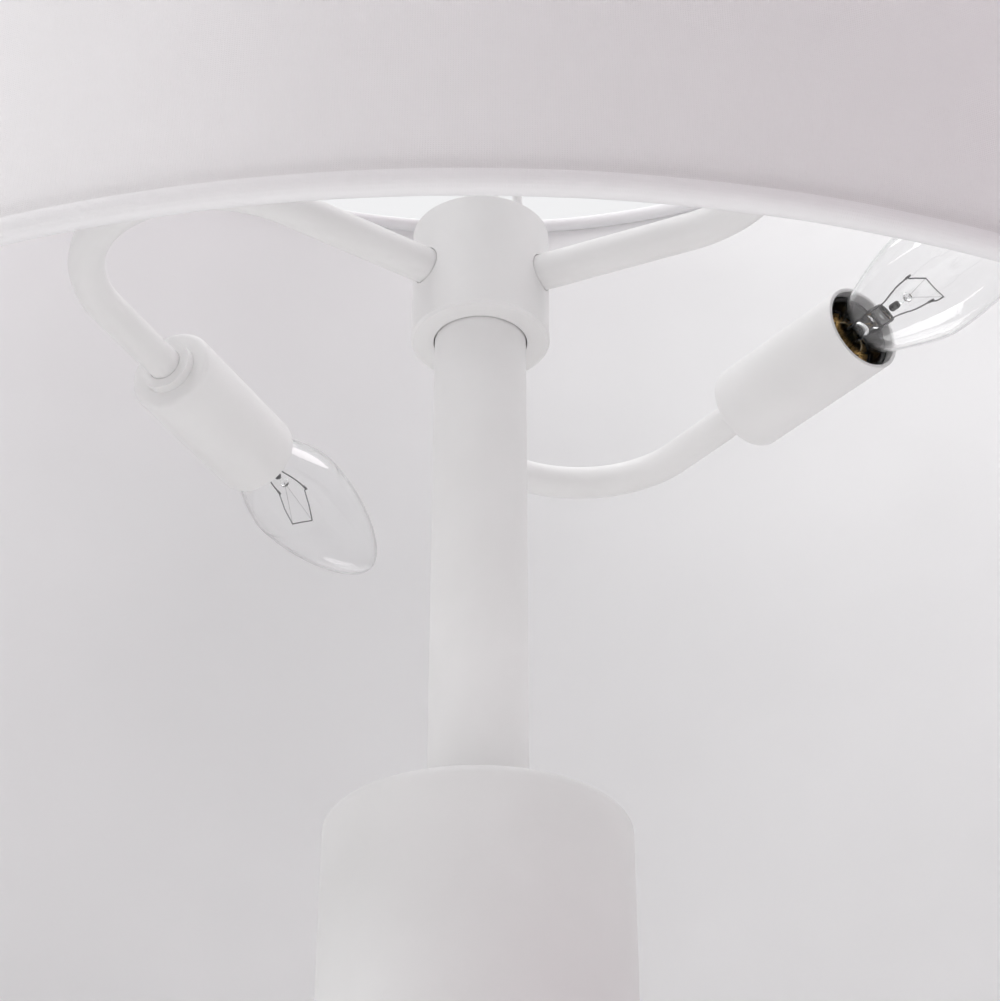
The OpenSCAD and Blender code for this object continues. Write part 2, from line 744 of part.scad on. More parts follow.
// Drum wall with its rims rolled round the wires, and the lapped seam at the back
module shade_skin() color([0.97, 0.96, 0.95]) {
    difference() {
        union() {
            rotate_extrude($fn = 180) union() {
                for (z = [wire_low, wire_high]) translate([wire_r, z]) circle(r = roll_r, $fn = 48);
                translate([shade_r - skin_t, wire_low]) square([skin_t, wire_high - wire_low]);
            }
            rotate([0, 0, 90 - seam_w / shade_d * 360 / PI])
                rotate_extrude(angle = seam_w / shade_d * 360 / PI, $fn = 180)
                    translate([shade_r - skin_t / 2, wire_low + roll_r])
                        square([skin_t / 2 + seam_t, wire_high - wire_low - 2 * roll_r]);
        }
        for (z = [wire_low, wire_high]) translate([0, 0, z])
            rotate_extrude() translate([wire_r, 0]) circle(r = wire_d / 2 + wire_gap, $fn = 32);
        for (i = places) spoke_bar(i, spoke_d + 2 * hole_gap, wire_r - 2 * roll_r, wire_r);
    }
}

// Turned finial with a blind hole for the stud
module finial() color([0.93, 0.93, 0.92]) {
    ball_r = (finial_h - finial_foot) * 0.42;
    ball_z = finial_h - ball_r;
    waist_a = asin(min(1, finial_waist / 2 / ball_r));
    translate([0, 0, finial_z]) difference() {
        rotate_extrude()
            polygon(concat([[0, 0], [finial_d / 2, 0], [finial_d / 2, finial_foot],
                            [finial_waist / 2, finial_foot + 1]],
                           arc([0, ball_z], ball_r, waist_a - 90, 90, 16)));
        translate([0, 0, -1]) cylinder(d = stud_d + hole_gap, h = stud_top + 2);
    }
}

foot_felt();
foot_plate();
foot_washer();
foot_nut();
tie_rod();
column();
cord_bushing();
stem_bush();
stem();
hub_body();
hub_nut();
hub_cover();
riser();
riser_nut();
spider();
for (i = places) {
    spoke(i);
}
top_ring();
bottom_ring();
shade_skin();
finial();
for (i = places) {
    arm(i);
    collar(i);
    cup(i);
    lampholder(i);
    screw_shell(i);
    contact(i);
    bulb_glass(i);
    bulb_cap(i);
    bulb_stem(i);
    bulb_leads(i);
    filament(i);
}
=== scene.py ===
"""The looks of the table lamp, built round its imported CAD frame.

Metres, +Z up, -Y towards the camera. Pieces stand in the frame of the CAD and ride on its bodies.
"""
import json
import math

import bmesh
import bpy
from mathutils import Matrix, Vector, noise


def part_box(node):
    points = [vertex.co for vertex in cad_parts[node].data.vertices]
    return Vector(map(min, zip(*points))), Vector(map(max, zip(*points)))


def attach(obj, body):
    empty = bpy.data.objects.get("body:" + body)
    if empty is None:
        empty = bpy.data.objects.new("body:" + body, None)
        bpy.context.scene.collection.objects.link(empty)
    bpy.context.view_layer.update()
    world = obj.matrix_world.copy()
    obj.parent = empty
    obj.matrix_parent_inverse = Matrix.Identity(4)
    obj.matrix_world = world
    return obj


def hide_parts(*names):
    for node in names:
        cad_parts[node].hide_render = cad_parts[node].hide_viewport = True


MM = 0.001
PLACES = (1, 2, 3)

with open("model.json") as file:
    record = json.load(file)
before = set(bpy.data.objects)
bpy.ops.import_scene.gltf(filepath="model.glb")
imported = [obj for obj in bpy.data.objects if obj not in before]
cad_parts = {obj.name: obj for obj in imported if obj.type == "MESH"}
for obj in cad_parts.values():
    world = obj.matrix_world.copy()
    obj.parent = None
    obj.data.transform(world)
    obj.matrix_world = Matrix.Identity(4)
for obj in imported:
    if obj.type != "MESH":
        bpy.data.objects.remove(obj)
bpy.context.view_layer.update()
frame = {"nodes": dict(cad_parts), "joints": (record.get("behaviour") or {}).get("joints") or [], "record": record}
NODES = frame["nodes"]


# Camera, as the photograph's perspective gives it. The photo's longer side has PHOTO_SIZE pixels.
PHOTO_SIZE = 1001
FOCAL_PX = 2250.86
SENSOR_MM = 36.0
CAMERA_AT = Vector((0.0, -0.5035, 0.1119))
CAMERA_UP_DEG = 31.509
CAMERA_TURN_DEG = 0.609
CAMERA_ROLL_DEG = -0.033
CAMERA_NEAR = 10 * MM


def make_camera():
    up, turn = math.radians(CAMERA_UP_DEG), math.radians(CAMERA_TURN_DEG)
    ahead = Vector((math.sin(turn) * math.cos(up), math.cos(turn) * math.cos(up), math.sin(up)))
    data = bpy.data.cameras.new("camera")
    data.sensor_width = SENSOR_MM
    data.lens = FOCAL_PX * SENSOR_MM / PHOTO_SIZE
    data.clip_start = CAMERA_NEAR
    camera = bpy.data.objects.new("camera", data)
    bpy.context.scene.collection.objects.link(camera)
    facing = ahead.to_track_quat("-Z", "Y").to_matrix().to_4x4()
    roll = Matrix.Rotation(math.radians(CAMERA_ROLL_DEG), 4, "Z")
    camera.matrix_world = Matrix.Translation(CAMERA_AT) @ facing @ roll
    bpy.context.scene.camera = camera


make_camera()


# Small tools for materials
class Shader:
    """A node material with one Principled shader, and short calls for what feeds it."""

    def __init__(self, name, **sockets):
        self.material = bpy.data.materials.new(name)
        self.material.use_nodes = True
        self.tree = self.material.node_tree
        self.principled = self.tree.nodes["Principled BSDF"]
        self.output = self.tree.nodes["Material Output"]
        for socket, value in sockets.items():
            self.principled.inputs[socket.replace("_", " ")].default_value = value
        self.place = self.add("ShaderNodeTexCoord").outputs["Object"]

    def add(self, kind, inputs=None, **settings):
        node = self.tree.nodes.new(kind)
        for key, value in settings.items():
            setattr(node, key, value)
        for key, value in (inputs or {}).items():
            if isinstance(value, bpy.types.NodeSocket):
                self.tree.links.new(value, node.inputs[key])
            else:
                node.inputs[key].default_value = value
        return node

    def noise(self, size, detail=2.0, rough=0.5, at=None):
        """Noise whose features are about size metres across."""
        return self.add("ShaderNodeTexNoise", {
            "Vector": at or self.place, "Scale": 1.0 / size, "Detail": detail, "Roughness": rough,
        }).outputs["Fac"]

    def math(self, operation, a, b=0.0):
        return self.add("ShaderNodeMath", {0: a, 1: b}, operation=operation).outputs[0]

    def ramp(self, factor, low, high, dark, light):
        """A colour from dark to light while the factor goes from low to high."""
        node = self.add("ShaderNodeValToRGB", {"Fac": factor})
        node.color_ramp.elements[0].position = low
        node.color_ramp.elements[1].position = high
        node.color_ramp.elements[0].color = (*dark, 1.0)
        node.color_ramp.elements[1].color = (*light, 1.0)
        return node.outputs["Color"]

    def spread(self, factor, low, high, bottom, top):
        """A number from bottom to top while the factor goes from low to high."""
        return self.add("ShaderNodeMapRange", {
            "Value": factor, "From Min": low, "From Max": high, "To Min": bottom, "To Max": top,
        }).outputs["Result"]

    def bump(self, height, depth, strength, below=None):
        """A normal from a height of 0 to 1 that stands for depth metres."""
        inputs = {"Height": height, "Distance": depth, "Strength": strength}
        if below is not None:
            inputs["Normal"] = below
        return self.add("ShaderNodeBump", inputs).outputs["Normal"]

    def feed(self, socket, value):
        self.tree.links.new(value, self.principled.inputs[socket])


def white_paint():
    """Satin powder coat: a fine grain over a slow orange peel, and a slight change of tone."""
    s = Shader("white_paint", IOR=1.5)
    grain = s.noise(0.45 * MM, detail=3.0, rough=0.6)
    peel = s.noise(1.8 * MM, detail=1.0)
    tone = s.noise(30 * MM, detail=3.0)
    s.feed("Base Color", s.ramp(tone, 0.35, 0.65, PAINT_DARK, PAINT_LIGHT))
    s.feed("Roughness", s.spread(grain, 0.3, 0.7, 0.42, 0.56))
    s.feed("Normal", s.bump(grain, 0.05 * MM, 0.35, below=s.bump(peel, 0.06 * MM, 0.3)))
    return s.material


def drum_place(s):
    """Width round the shade and height, both in metres, from the place on it."""
    parts = s.add("ShaderNodeSeparateXYZ", {"Vector": s.place})
    angle = s.math("ARCTAN2", parts.outputs["Y"], parts.outputs["X"])
    return s.math("MULTIPLY", angle, SHADE_R), parts.outputs["Z"]


def shade_cloth(name, tones, weave_depth, see_through, through_colour):
    """Cloth on a stiff liner: crossed threads, slubs, a slow change of tone, light through it."""
    s = Shader(name, Roughness=0.62, IOR=1.45)
    around, height = drum_place(s)
    flat = s.add("ShaderNodeCombineXYZ", {"X": around, "Y": height}).outputs["Vector"]
    warp = s.math("SINE", s.math("MULTIPLY", around, 2 * math.pi / THREAD_SPACING))
    weft = s.math("SINE", s.math("MULTIPLY", height, 2 * math.pi / THREAD_SPACING))
    weave = s.math("MAXIMUM", warp, weft)
    stretched = s.add("ShaderNodeVectorMath", {0: flat, 1: SLUB_STRETCH}, operation="MULTIPLY")
    slub = s.noise(6 * MM, at=stretched.outputs["Vector"])
    tone = s.noise(70 * MM, detail=3.0)
    s.feed("Base Color", s.ramp(tone, 0.3, 0.7, *tones))
    s.feed("Roughness", s.spread(slub, 0.3, 0.7, 0.55, 0.7))
    surface = s.bump(weave, 0.03 * MM, weave_depth, below=s.bump(slub, 0.05 * MM, weave_depth))
    s.feed("Normal", surface)
    through = s.add("ShaderNodeBsdfTranslucent", {
        "Color": (*through_colour, 1.0), "Normal": surface})
    mix = s.add("ShaderNodeMixShader", {
        "Fac": see_through, 1: s.principled.outputs["BSDF"], 2: through.outputs["BSDF"]})
    s.tree.links.new(mix.outputs["Shader"], s.output.inputs["Surface"])
    return s.material


def black_phenolic():
    """Black moulding: a slight gloss, faint flow marks and dust."""
    s = Shader("black_phenolic", IOR=1.52, Specular_IOR_Level=0.3)
    flow = s.noise(5 * MM, detail=4.0, rough=0.6)
    dust = s.noise(0.5 * MM, detail=2.0)
    s.feed("Base Color", s.ramp(dust, 0.45, 0.75, (0.004, 0.004, 0.004), (0.012, 0.011, 0.011)))
    s.feed("Roughness", s.spread(flow, 0.3, 0.7, 0.22, 0.42))
    s.feed("Normal", s.bump(flow, 0.04 * MM, 0.3))
    return s.material


def metal(name, dark, light, rough_low, rough_high, stain):
    """Bare metal with fine scratches and stains of the given size."""
    s = Shader(name, Metallic=1.0)
    blotch = s.noise(stain, detail=5.0, rough=0.62)
    fine = s.noise(0.35 * MM, detail=3.0)
    s.feed("Base Color", s.ramp(blotch, 0.32, 0.68, dark, light))
    s.feed("Roughness", s.spread(blotch, 0.3, 0.7, rough_low, rough_high))
    s.feed("Normal", s.bump(fine, 0.02 * MM, 0.35))
    return s.material


def clear_glass(name, tint, wave, wave_size, gloss, edge_shade_density):
    """Blown glass with a slow wave, and a painted shade along its edges: a strong grey absorption darkens it where
    the sight line runs along its wall.
    """
    s = Shader(name, Transmission_Weight=1.0, IOR=1.5, Roughness=0.0, Specular_IOR_Level=gloss,
               Base_Color=(*tint, 1.0))
    s.feed("Normal", s.bump(s.noise(wave_size, detail=1.0), wave, 0.5))
    inside = s.add("ShaderNodeVolumeAbsorption", {
        "Color": (*GLASS_EDGE_SHADE, 1.0), "Density": edge_shade_density})
    s.tree.links.new(inside.outputs["Volume"], s.output.inputs["Volume"])
    return s.material


def felt():
    """Pressed felt: matted fibres, coloured lighter where the bump raises them, a painted highlight on their tips.
    """
    s = Shader("felt", Sheen_Weight=0.4, Sheen_Roughness=0.5, Specular_IOR_Level=0.2)
    fibres = s.noise(0.7 * MM, detail=6.0, rough=0.7)
    clumps = s.noise(5 * MM, detail=3.0)
    # colour from the bump's own noise: the raised fibres get a painted highlight
    s.feed("Base Color", s.ramp(fibres, 0.3, 0.7, (0.018, 0.018, 0.020), (0.055, 0.055, 0.060)))
    s.feed("Roughness", s.spread(clumps, 0.3, 0.7, 0.85, 1.0))
    s.feed("Normal", s.bump(fibres, 0.3 * MM, 0.8, below=s.bump(clumps, 0.2 * MM, 0.5)))
    return s.material


def moulded_plastic():
    """White plastic with a fine moulded texture."""
    s = Shader("white_plastic", IOR=1.46)
    texture = s.noise(0.3 * MM, detail=2.0)
    tone = s.noise(8 * MM)
    s.feed("Base Color", s.ramp(tone, 0.3, 0.7, (0.76, 0.755, 0.74), (0.80, 0.795, 0.78)))
    s.feed("Roughness", s.spread(texture, 0.3, 0.7, 0.38, 0.5))
    s.feed("Normal", s.bump(texture, 0.03 * MM, 0.4))
    return s.material


SHADE_R = (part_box("shade_skin")[1].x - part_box("shade_skin")[0].x) / 2
PAINT_DARK, PAINT_LIGHT = (0.860, 0.858, 0.853), (0.888, 0.886, 0.882)
CLOTH_TONES = (0.86, 0.855, 0.86), (0.90, 0.895, 0.90)
CLOTH_THROUGH = (0.90, 0.88, 0.89)
LINER_TONES = (0.87, 0.87, 0.875), (0.90, 0.90, 0.905)
LINER_THROUGH = (0.90, 0.90, 0.90)
RIM_TONES = (0.91, 0.91, 0.92), (0.94, 0.94, 0.95)
RIM_THROUGH = (0.90, 0.87, 0.88)
THREAD_SPACING = 0.42 * MM
SLUB_STRETCH = (1.0, 9.0, 1.0)
# A strong grey absorption in the glass, painted shade that darkens the edges of the bulbs
GLASS_EDGE_SHADE = (0.02, 0.02, 0.02)
MATERIALS = {
    "white_paint": white_paint(),
    "shade_cloth": shade_cloth("shade_cloth", CLOTH_TONES, 0.5, 0.33, CLOTH_THROUGH),
    "shade_lap": shade_cloth("shade_lap", CLOTH_TONES, 0.5, 0.15, CLOTH_THROUGH),
    "shade_liner": shade_cloth("shade_liner", LINER_TONES, 0.12, 0.33, LINER_THROUGH),
    "shade_rim": shade_cloth("shade_rim", RIM_TONES, 0.4, 0.1, RIM_THROUGH),
    "felt": felt(),
    "zinc": metal("zinc", (0.50, 0.50, 0.51), (0.68, 0.68, 0.69), 0.25, 0.42, 3 * MM),
    "white_plastic": moulded_plastic(),
    "black_phenolic": black_phenolic(),
    "brass": metal("brass", (0.42, 0.24, 0.07), (0.74, 0.50, 0.20), 0.20, 0.38, 2 * MM),
    "cap_metal": metal("cap_metal", (0.44, 0.33, 0.18), (0.70, 0.58, 0.38), 0.22, 0.36, 2 * MM),
    # The glass densities below paint a dark shade along the edges of the bulbs and their pinches
    "bulb_glass": clear_glass(
        "bulb_glass", (0.996, 0.998, 0.998), 0.05 * MM, 14 * MM, gloss=0.35, edge_shade_density=28.0),
    "inner_glass": clear_glass(
        "inner_glass", (0.98, 0.985, 0.985), 0.3 * MM, 4 * MM, gloss=0.5, edge_shade_density=10.0),
    "lead_wire": metal("lead_wire", (0.12, 0.12, 0.13), (0.26, 0.25, 0.25), 0.28, 0.45, 1 * MM),
    "filament_wire": metal(
        "filament_wire", (0.035, 0.035, 0.04), (0.08, 0.08, 0.08), 0.35, 0.5, 1 * MM),
}


# Small tools for meshes
ON_AXIS = 1e-7


def piece_from(name, build, body, slot, at=None, material=None, nodes=(), sharp_deg=35.0):
    """A closed piece from a bmesh builder, smooth but for its sharp edges, on its body."""
    mesh = bpy.data.meshes.new(name)
    bm = bmesh.new()
    build(bm)
    bmesh.ops.recalc_face_normals(bm, faces=bm.faces)
    for face in bm.faces:
        face.smooth = True
    limit = math.radians(sharp_deg)
    for edge in bm.edges:
        if len(edge.link_faces) == 2:
            edge.smooth = edge.calc_face_angle(0.0) < limit
    bm.to_mesh(mesh)
    bm.free()
    if at is not None:
        mesh.transform(at)
    piece = bpy.data.objects.new(name, mesh)
    bpy.context.scene.collection.objects.link(piece)
    mesh.materials.append(MATERIALS[material or slot])
    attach(piece, body)
    if nodes:
        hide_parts(*nodes)
    return piece


def arc_points(centre, radius, start_deg, end_deg, steps):
    """Points of an arc in a profile's plane."""
    points = []
    for k in range(steps + 1):
        a = math.radians(start_deg + (end_deg - start_deg) * k / steps)
        points.append((centre[0] + radius * math.cos(a), centre[1] + radius * math.sin(a)))
    return points


def rounded(corners, steps=4):
    """A closed outline from (radius, height, fillet) corners, each rounded by its fillet."""
    outline = []
    count = len(corners)
    for k, (x, y, fillet) in enumerate(corners):
        corner = Vector((x, y))
        before = Vector(corners[k - 1][:2]) - corner
        after = Vector(corners[(k + 1) % count][:2]) - corner
        if fillet <= 0 or x <= 0:
            outline.append((x, y))
            continue
        half = before.angle(after) / 2
        cut = min(fillet / math.tan(half), 0.49 * before.length, 0.49 * after.length)
        radius = cut * math.tan(half)
        first, last = corner + before.normalized() * cut, corner + after.normalized() * cut
        inward = (before.normalized() + after.normalized()).normalized()
        middle = corner + inward * (radius / math.sin(half))
        start, end = first - middle, last - middle
        turn = start.angle_signed(end) * -1
        for step in range(steps + 1):
            a = turn * step / steps
            spot = middle + Vector((
                start.x * math.cos(a) - start.y * math.sin(a),
                start.x * math.sin(a) + start.y * math.cos(a)))
            outline.append((max(spot.x, 0.0), spot.y))
    return outline


def circle(count):
    """The angles of a full turn in equal steps, in radians."""
    return [2 * math.pi * k / count for k in range(count)]


def lathe(outline, segments):
    """A builder that turns a closed outline about Z. Points on the axis become one vertex."""

    def build(bm):
        rings = []
        for r, z in outline:
            if r < ON_AXIS:
                rings.append([bm.verts.new((0.0, 0.0, z))])
                continue
            rings.append([
                bm.verts.new((r * math.cos(a), r * math.sin(a), z)) for a in circle(segments)])
        for one, two in zip(rings, rings[1:] + rings[:1]):
            for k in range(segments):
                n = (k + 1) % segments
                corners = dict.fromkeys((
                    one[k % len(one)], one[n % len(one)], two[n % len(two)], two[k % len(two)]))
                if len(corners) >= 3:
                    bm.faces.new(list(corners))

    return build


def skin_between(bm, rings):
    """Faces from each ring of vertices to the next."""
    for one, two in zip(rings, rings[1:]):
        for k in range(len(one)):
            n = (k + 1) % len(one)
            bm.faces.new((one[k], one[n], two[n], two[k]))


def tube(path, radius, sides):
    """A builder that sweeps a circle along points. Radius is one number, or one for each point."""
    points = [Vector(p) for p in path]
    radii = radius if hasattr(radius, "__len__") else [radius] * len(points)

    def build(bm):
        ahead = (points[1] - points[0]).normalized()
        side = ahead.orthogonal().normalized()
        rings = []
        for k, point in enumerate(points):
            before = points[k] - points[max(k - 1, 0)]
            after = points[min(k + 1, len(points) - 1)] - points[k]
            along = (before.normalized() + after.normalized()).normalized()
            side = (side - along * side.dot(along)).normalized()
            other = along.cross(side)
            rings.append([
                bm.verts.new(point + radii[k] * (math.cos(a) * side + math.sin(a) * other))
                for a in circle(sides)])
        skin_between(bm, rings)
        bm.faces.new(rings[0][::-1])
        bm.faces.new(rings[-1])

    return build


def curve_point(p, t):
    """A point on a cubic curve."""
    return (p[0] * (1 - t) ** 3 + 3 * p[1] * (1 - t) ** 2 * t
            + 3 * p[2] * (1 - t) * t * t + p[3] * t ** 3)


def curve_slope(p, t):
    """The curve's direction there."""
    return (3 * (p[1] - p[0]) * (1 - t) ** 2 + 6 * (p[2] - p[1]) * (1 - t) * t
            + 3 * (p[3] - p[2]) * t * t)


def several(*builders):
    """One builder from several, for a piece of more than one solid."""

    def build(bm):
        for builder in builders:
            builder(bm)

    return build


# Frames of the cups and bulbs, from the joints
def cup_frame(i):
    """The frame of cup i: +Z from its back to its mouth, +X down."""
    joint = next(j for j in frame["joints"] if j["name"] == f"bulb_turn_{i}")
    out = Vector(joint["axis"]).normalized()
    down = Vector((0.0, 0.0, -1.0))
    side = out.cross(down)
    turn = Matrix((down, side, out)).transposed().to_4x4()
    return Matrix.Translation(Vector(joint["pos_m"])) @ turn


def reach(node, at):
    """Largest radius, lowest and highest place of a CAD node in a frame of its own."""
    inverse = at.inverted()
    spots = [inverse @ v.co for v in NODES[node].data.vertices]
    heights = [p.z for p in spots]
    return max(math.hypot(p.x, p.y) for p in spots), min(heights), max(heights)


CUPS = {i: cup_frame(i) for i in PLACES}
CUP_R, CUP_LOW, CUP_HIGH = reach("cup_1", CUPS[1])
HOLDER_R, HOLDER_LOW, HOLDER_HIGH = reach("lampholder_1", CUPS[1])
SHELL_R, SHELL_LOW, SHELL_HIGH = reach("screw_shell_1", CUPS[1])
CAP_R, CAP_LOW, CAP_HIGH = reach("bulb_cap_1", CUPS[1])
GLASS_R, _, GLASS_HIGH = reach("bulb_glass_1", CUPS[1])

# Cups
CUP_WALL = 1.2 * MM
CUP_BACK = 2.0 * MM
CUP_BACK_ROUND = 1.8 * MM
ARM_HOLE_R = 5.2 * MM


def make_cup(i):
    outline = rounded([
        (ARM_HOLE_R, CUP_LOW, 0.2 * MM),
        (CUP_R, CUP_LOW, CUP_BACK_ROUND),
        (CUP_R, CUP_HIGH, 0.3 * MM),
        (CUP_R - CUP_WALL, CUP_HIGH, 0.3 * MM),
        (CUP_R - CUP_WALL, CUP_LOW + CUP_BACK, 0.8 * MM),
        (ARM_HOLE_R, CUP_LOW + CUP_BACK, 0.2 * MM)], steps=6)
    piece_from(f"cup_shell_{i}", lathe(outline, 128), "lamp", "white_paint", CUPS[i],
               nodes=[f"cup_{i}"])


# Lampholders
HOLDER_MOUTH_R = 10.25 * MM
HOLDER_MOUTH_H = 5.5 * MM
HOLDER_BORE_R = 6.5 * MM
WIREWAY_R = 2.5 * MM
ARM_GRIP = 6.0 * MM
CONTACT_LOW = reach("contact_1", CUPS[1])[1]


def make_lampholder(i):
    ledge = HOLDER_HIGH - HOLDER_MOUTH_H
    outline = rounded([
        (ARM_HOLE_R, HOLDER_LOW, 0.2 * MM),
        (HOLDER_R, HOLDER_LOW, 0.5 * MM),
        (HOLDER_R, HOLDER_HIGH, 0.35 * MM),
        (HOLDER_MOUTH_R + 0.6 * MM, HOLDER_HIGH, 0.2 * MM),
        (HOLDER_MOUTH_R, HOLDER_HIGH - 0.7 * MM, 0.2 * MM),
        (HOLDER_MOUTH_R, ledge, 0.4 * MM),
        (HOLDER_BORE_R, ledge, 0.2 * MM),
        (HOLDER_BORE_R, CONTACT_LOW, 0.3 * MM),
        (WIREWAY_R, CONTACT_LOW, 0.2 * MM),
        (WIREWAY_R, HOLDER_LOW + ARM_GRIP, 0.2 * MM),
        (ARM_HOLE_R, HOLDER_LOW + ARM_GRIP, 0.2 * MM)], steps=4)
    piece_from(f"lampholder_body_{i}", lathe(outline, 96), "lamp", "black_phenolic", CUPS[i],
               nodes=[f"lampholder_{i}"])


# Screw threads, as the round-bottomed rolls of thin sheet
THREAD_PITCH = 2.54 * MM
THREAD_DEPTH = 0.28 * MM
THREAD_FADE = 0.7 * THREAD_PITCH
THREAD_AROUND = 72
THREAD_ROWS = 10


def threaded_sheet(radius, low, high, wall):
    """A builder for a tube of thin sheet with a rolled thread that fades out at both ends."""
    rows = int((high - low) / THREAD_PITCH * THREAD_ROWS)

    def wave(angle, z):
        fade = max(0.0, min(1.0, (z - low) / THREAD_FADE, (high - z) / THREAD_FADE))
        return THREAD_DEPTH * fade * (math.cos(angle - 2 * math.pi * z / THREAD_PITCH) - 1) / 2

    def ring(bm, r, z):
        return [bm.verts.new(((r + wave(a, z)) * math.cos(a), (r + wave(a, z)) * math.sin(a), z))
                for a in circle(THREAD_AROUND)]

    def build(bm):
        heights = [low + (high - low) * row / rows for row in range(rows + 1)]
        outside, inside = ([ring(bm, r, z) for z in heights] for r in (radius, radius - wall))
        skin_between(bm, outside)
        skin_between(bm, inside)
        for row in (0, -1):
            skin_between(bm, (outside[row], inside[row]))

    return build


# Screw shells
SHELL_WALL = 0.4 * MM
SHELL_EDGE = 0.15 * MM
SHELL_BODY_R = 6.45 * MM
SHELL_CREST = 0.1 * MM


def make_screw_shell(i):
    inner_r, flange_low = SHELL_BODY_R - SHELL_WALL, SHELL_HIGH - SHELL_WALL
    flange = rounded([
        (inner_r, flange_low, 0.0),
        (SHELL_R, flange_low, SHELL_EDGE),
        (SHELL_R, SHELL_HIGH, SHELL_EDGE),
        (inner_r, SHELL_HIGH, SHELL_EDGE)], steps=3)
    piece_from(f"screw_shell_thread_{i}", several(
        threaded_sheet(SHELL_BODY_R + SHELL_CREST, SHELL_LOW, flange_low, SHELL_WALL),
        lathe(flange, 72)), "lamp", "brass", CUPS[i], nodes=[f"screw_shell_{i}"])


# Bulbs
BULB_TURN_DEG = {1: 240.5, 2: 273.8, 3: 307.0}
GLASS_WALL = 0.6 * MM
NECK_IN = 5.0 * MM
NECK_LEAN = 0.555
NECK_PULL = 5.4 * MM
BELLY_LOW = 6.0 * MM
BELLY_HIGH = 24.0 * MM
TIP_BLUNT = 0.46
STEM_WALL = 0.7 * MM
PRESS_TOP = 33.4 * MM
PRESS_FLAT = 7.0 * MM
PRESS_R = 2.6 * MM
PRESS_SIDES = 40
EXHAUST_R = 0.9 * MM
BEAD_AT = PRESS_TOP + 2.7 * MM
BEAD_R = 1.1 * MM
BEAD_L = 2.8 * MM
BUTTON_AT = PRESS_TOP + 7.9 * MM
BUTTON_R = 1.5 * MM
BUTTON_FLAT = 0.7
ROD_R = 0.6 * MM
LEAD_R = 0.22 * MM
LEAD_ROOT = 2.5 * MM
LEAD_SPREAD = 4.8 * MM
LEAD_TOP = PRESS_TOP + 13.4 * MM
CRIMP_R = 0.36 * MM
CRIMP_L = 1.9 * MM
SUPPORT_R = 0.045 * MM
CORNER_X = 3.6 * MM
CORNER_Y = 7.2 * MM
CORNER_Z = PRESS_TOP + 21.2 * MM
FILAMENT_KINK = 0.9 * MM
FILAMENT_SAG = 0.35 * MM
COIL_R = 0.15 * MM
COIL_WIRE_R = 0.06 * MM
COIL_PITCH = 0.17 * MM
COIL_SIDES = 7
CAP_H = CAP_HIGH - CAP_LOW
CAP_WALL = 0.35 * MM
CAP_FOOT = 3.0 * MM
BULB_L = GLASS_HIGH - CAP_LOW
BELLY_AT = 49.0 * MM
GLASS_FIT = 0.2 * MM
NECK_R = CAP_R - CAP_WALL - GLASS_FIT
CURVE_STEPS = 30


def bulb_frame(i):
    """The frame of bulb i: +Z from its contact to its tip, +X along its filament."""
    turn = Matrix.Rotation(math.radians(BULB_TURN_DEG[i]), 4, "Z")
    return CUPS[i] @ Matrix.Translation((0.0, 0.0, CAP_LOW)) @ turn


def glass_outline():
    """The glass from its neck over the belly to the tip, and back inside."""
    neck = [Vector(p) for p in (
        (NECK_R, CAP_H), (GLASS_R * NECK_LEAN, CAP_H + NECK_PULL), (GLASS_R, BELLY_AT - BELLY_LOW),
        (GLASS_R, BELLY_AT))]
    tip = [Vector(p) for p in (
        (GLASS_R, BELLY_AT), (GLASS_R, BELLY_AT + BELLY_HIGH), (GLASS_R * TIP_BLUNT, BULB_L),
        (0.0, BULB_L))]
    outside = [(NECK_R, CAP_H - NECK_IN)]
    inside = [(NECK_R - GLASS_WALL, CAP_H - NECK_IN)]
    for curve, first in ((neck, 0), (tip, 1)):
        for k in range(first, CURVE_STEPS + 1):
            t = k / CURVE_STEPS
            spot, slope = curve_point(curve, t), curve_slope(curve, t).normalized()
            outside.append((spot.x, spot.y))
            inner_r = max(0.0, spot.x - GLASS_WALL * slope.y)
            inside.append((inner_r, spot.y + GLASS_WALL * slope.x))
    inside[-1] = (0.0, BULB_L - GLASS_WALL)
    return outside + inside[::-1]


def make_bulb(i):
    at, body = bulb_frame(i), f"bulb_{i}"
    piece_from(f"bulb_envelope_{i}", lathe(glass_outline(), 96), body, "bulb_glass", at,
               nodes=[f"bulb_glass_{i}"], sharp_deg=60)
    make_cap(i, at, body)
    make_bulb_stem(i, at, body)
    make_leads(i, at, body)
    make_filament(i, at, body)


def make_cap(i, at, body):
    """A drop of solder on a shoulder, and the rolled thread above it."""
    solder = rounded([
        (0.0, 0.0, 0.0), (1.6 * MM, 0.05 * MM, 0.3 * MM), (2.3 * MM, 0.7 * MM, 0.3 * MM),
        (0.0, 0.8 * MM, 0.0)], steps=3)
    shoulder = rounded([
        (0.0, 0.75 * MM, 0.0), (2.3 * MM, 0.75 * MM, 0.1 * MM),
        (CAP_R - 1.4 * MM, 1.35 * MM, 0.3 * MM), (CAP_R - 0.1 * MM, CAP_FOOT, 0.2 * MM),
        (CAP_R - 0.45 * MM, CAP_FOOT + 0.2 * MM, 0.0), (0.0, CAP_FOOT + 0.2 * MM, 0.0)], steps=3)
    piece_from(f"bulb_cap_thread_{i}", several(
        threaded_sheet(CAP_R, CAP_FOOT, CAP_H, CAP_WALL),
        lathe(solder, 48),
        lathe(shoulder, 72)), body, "cap_metal", at, nodes=[f"bulb_cap_{i}"])


